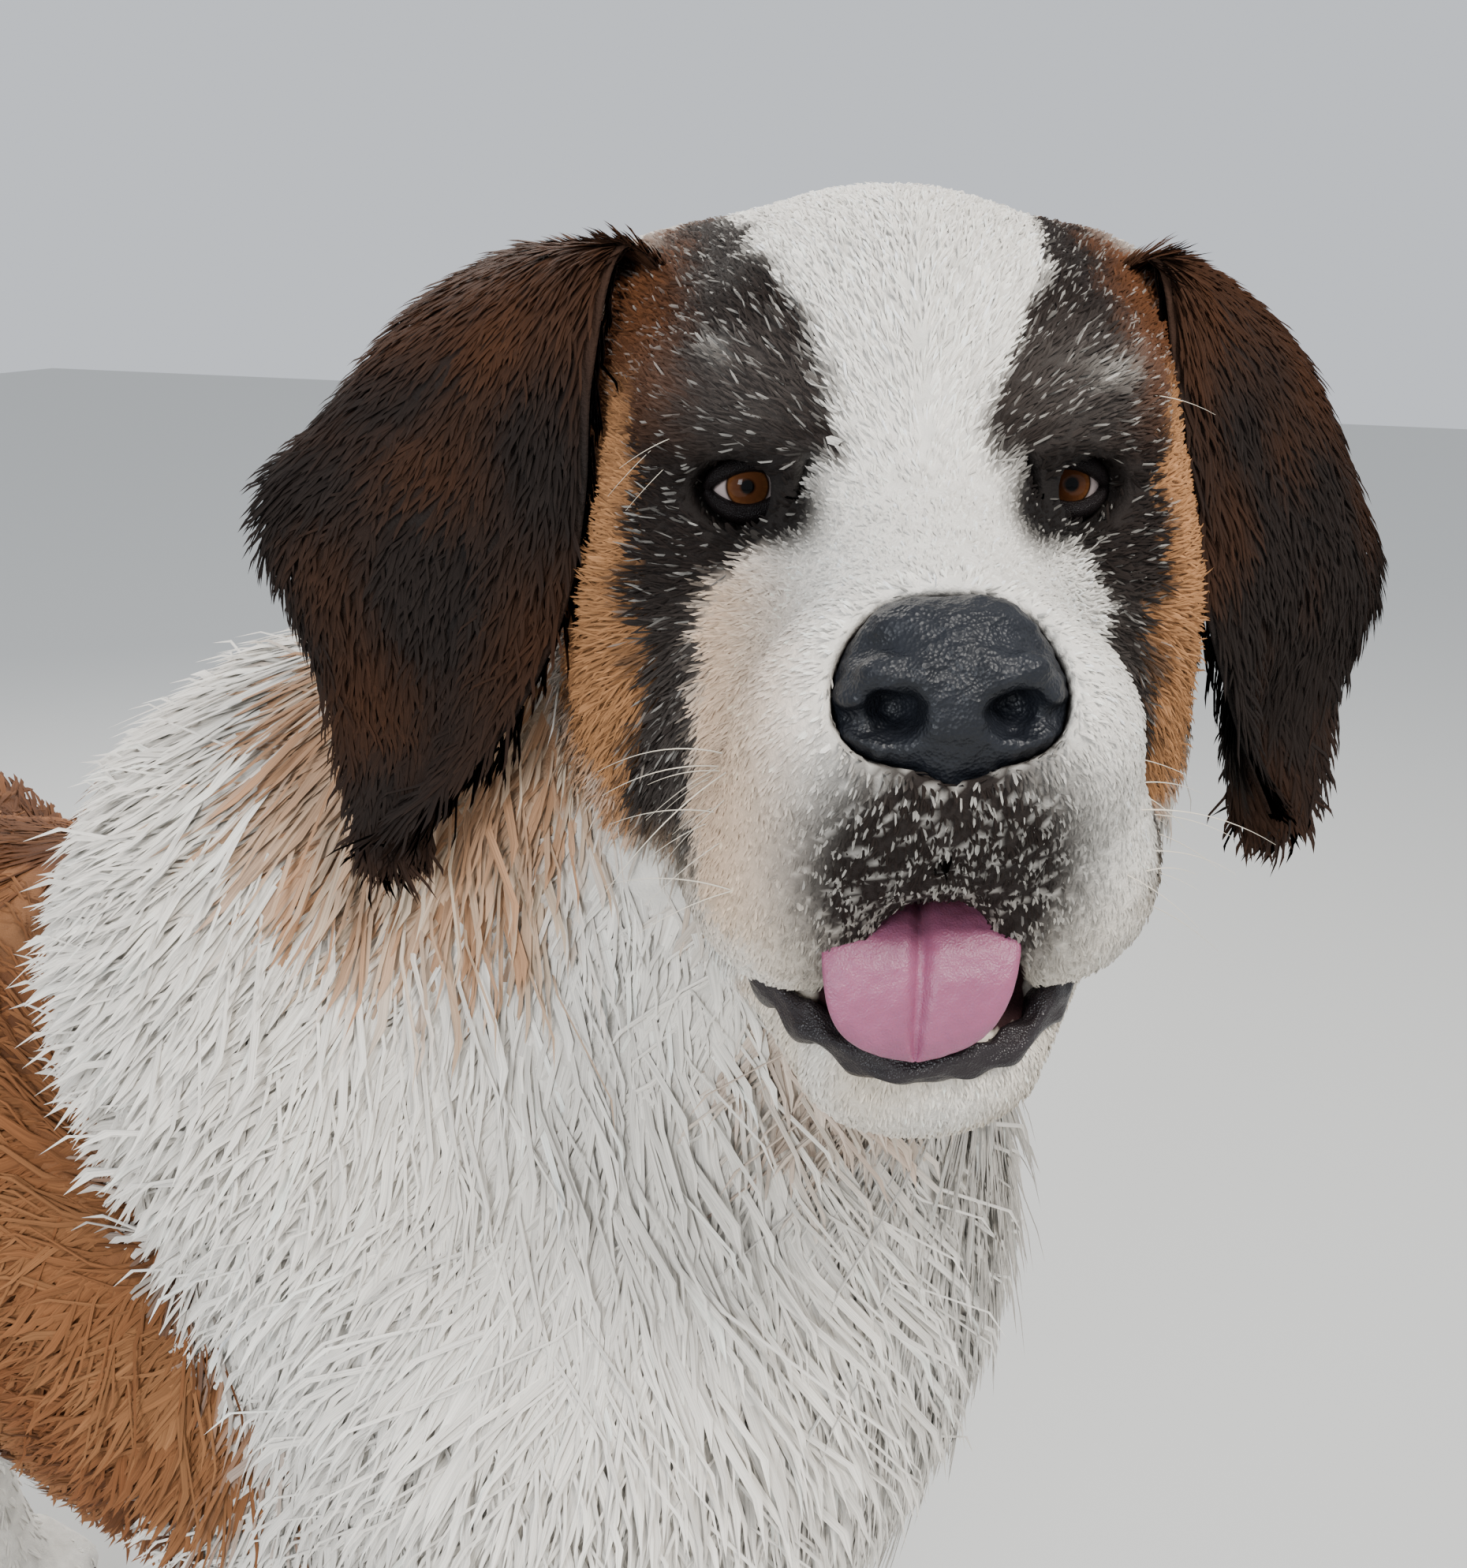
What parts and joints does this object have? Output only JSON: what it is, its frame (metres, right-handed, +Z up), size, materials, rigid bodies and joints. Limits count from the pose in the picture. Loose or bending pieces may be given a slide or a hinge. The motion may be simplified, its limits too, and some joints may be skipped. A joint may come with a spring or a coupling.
{
  "type": "saint bernard dog",
  "caption": "Life-size still model of a standing Saint Bernard dog with its head turned to its right, mouth open and tail hanging.",
  "frame": {"origin": "on the floor, in the middle of the box round the dog", "axes": "+Z up, -Y the way the body faces, +X the dog's left"},
  "size_m": [0.458, 1.1098, 1.0134],
  "materials": {
    "white_coat": "long soft white fur",
    "brown_coat": "long soft red-brown fur",
    "black_coat": "short dark fur",
    "nose_leather": "moist pebbled nose leather",
    "tongue": "wet pink skin",
    "eye": "wet brown eye"
  },
  "bodies": {
    "root": {"torso": "white_coat", "neck": "white_coat", "head": "black_coat", "lower_jaw": "white_coat", "nose": "nose_leather", "tongue": "tongue", "eye_left": "eye", "eye_right": "eye", "ear_left": "black_coat", "ear_right": "black_coat", "tail": "white_coat", "foreleg_left": "white_coat", "forepaw_left": "white_coat", "thigh_left": "brown_coat", "hindleg_left": "white_coat", "hindpaw_left": "white_coat", "foreleg_right": "white_coat", "forepaw_right": "white_coat", "thigh_right": "brown_coat", "hindleg_right": "white_coat", "hindpaw_right": "white_coat"}
  },
  "joints": []
}
